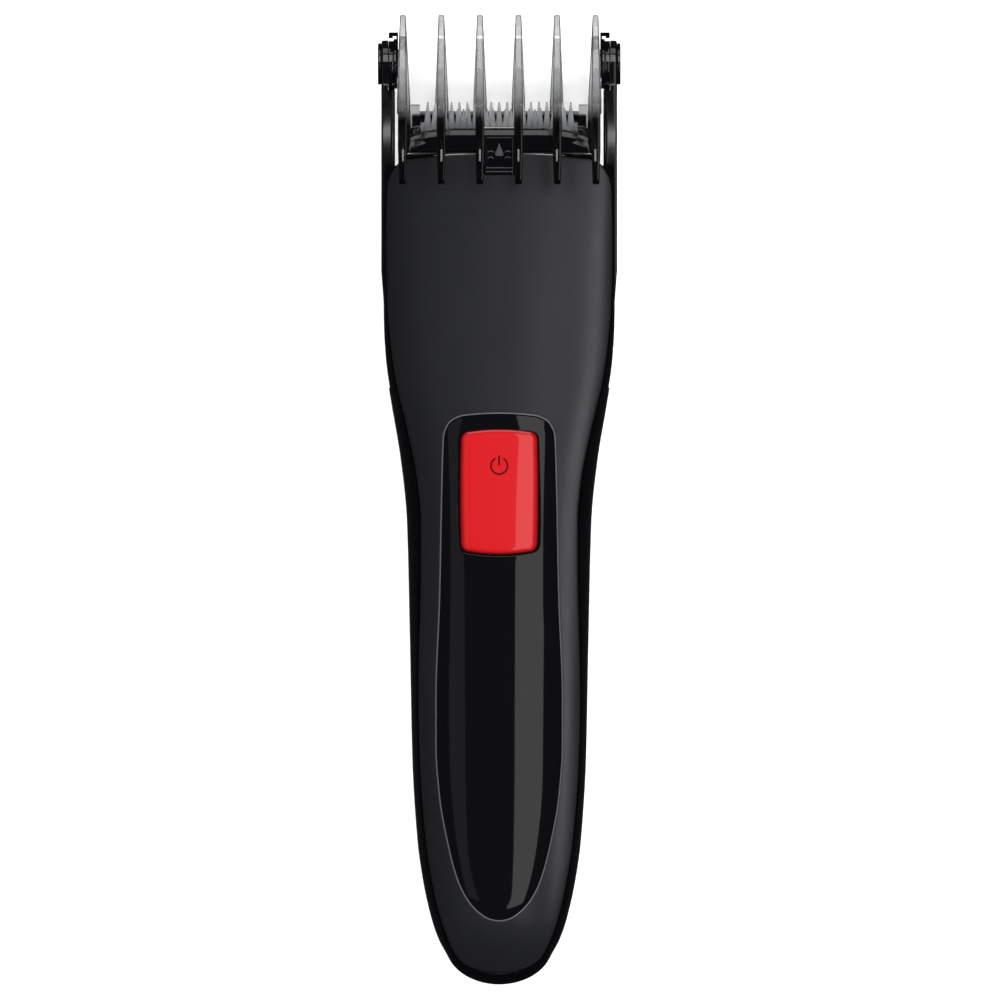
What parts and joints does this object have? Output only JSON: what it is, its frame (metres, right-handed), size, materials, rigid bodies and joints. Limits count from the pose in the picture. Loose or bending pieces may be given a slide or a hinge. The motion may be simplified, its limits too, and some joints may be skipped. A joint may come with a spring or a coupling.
{
  "type": "hair clipper",
  "caption": "Cordless hair clipper with a matte black front, glossy inlay, red power button, steel blades and a smoky ribbed comb on sliding arms.",
  "frame": {"origin": "centre of the bounding box at its bottom, on the surface the rear cover's flat rests on", "axes": "+Z out of the front with the power button, +Y towards the blades and comb, +X to the right seen from the front"},
  "size_m": [0.0486, 0.194, 0.0342],
  "materials": {
    "matte_black": "fine matte",
    "gloss_black": "high gloss",
    "red": "satin gloss",
    "smoke": "translucent smoky",
    "steel": "ground",
    "zinc": "zinc plated",
    "board_green": "solder mask",
    "nylon": "natural nylon",
    "rubber": "soft",
    "cell_wrap": "shrink wrap",
    "wire_red": "insulation",
    "wire_black": "insulation"
  },
  "bodies": {
    "body": {"rear_cover": "gloss_black", "front_cover": "matte_black", "inlay_panel": "gloss_black", "circuit_board": "board_green", "board_screw_1": "zinc", "board_screw_2": "zinc", "switch_body": "matte_black", "battery_cell_left": "cell_wrap", "battery_cell_right": "cell_wrap", "cell_link": "zinc", "cell_tab_left": "zinc", "cell_tab_right": "zinc", "charge_socket": "gloss_black", "socket_pin_left": "zinc", "socket_pin_right": "zinc", "motor_lead_left": "wire_red", "motor_lead_right": "wire_black", "motor_can": "steel", "motor_end_cap": "nylon", "drive_frame": "matte_black", "frame_screw_1": "zinc", "frame_screw_2": "zinc", "frame_screw_3": "zinc", "frame_screw_4": "zinc", "lever_pivot_pin": "steel", "lever_seal": "rubber", "head_housing": "gloss_black", "head_hinge_pin": "steel", "guard_blade": "steel", "blade_spring": "steel"},
    "comb_carriage": {"arm_left": "gloss_black", "arm_right": "gloss_black"},
    "comb": {"comb_head": "smoke", "comb_hinge_left": "gloss_black", "comb_hinge_right": "gloss_black", "pivot_cap_left": "gloss_black", "pivot_cap_right": "gloss_black", "comb_spring_left": "gloss_black", "comb_spring_right": "gloss_black"},
    "button": {"power_button": "red", "switch_plunger": "nylon"},
    "selector": {"length_selector": "gloss_black"},
    "rotor": {"motor_shaft": "steel", "eccentric": "nylon"},
    "lever": {"drive_lever": "nylon"},
    "cutter": {"cutter_blade": "steel", "cutter_carrier": "nylon"}
  },
  "joints": [
    {"name": "comb_slide", "type": "slide", "parent": "body", "child": "comb_carriage", "axis": [0, 1, 0], "range_m": [-0.012, 0.004]},
    {"name": "comb_tilt", "type": "hinge", "parent": "comb_carriage", "child": "comb", "pos_m": [0, 0.0875, 0.015], "axis": [-1, 0, 0], "range_deg": [0, 10], "stiffness_Nm_per_rad": 0.02},
    {"name": "power_press", "type": "slide", "parent": "body", "child": "button", "axis": [0, 0, -1], "range_m": [0, 0.001], "stiffness_N_per_m": 800, "springref_m": -0.0005},
    {"name": "selector_press", "type": "slide", "parent": "body", "child": "selector", "axis": [0, 0, 1], "range_m": [0, 0.0015], "stiffness_N_per_m": 600, "springref_m": -0.001},
    {"name": "motor_spin", "type": "hinge", "parent": "body", "child": "rotor", "pos_m": [0, 0.045, 0.016], "axis": [0, 1, 0], "continuous": true},
    {"name": "lever_swing", "type": "hinge", "parent": "body", "child": "lever", "pos_m": [0, 0.062, 0.0206], "axis": [0, 0, 1], "range_deg": [-4.3, 4.3]},
    {"name": "cutter_slide", "type": "slide", "parent": "body", "child": "cutter", "axis": [1, 0, 0], "range_m": [-0.00075, 0.00075]}
  ],
  "couplings": [
    {"joint": "lever_swing", "follows": "cutter_slide", "rad_per_m": -100}
  ]
}
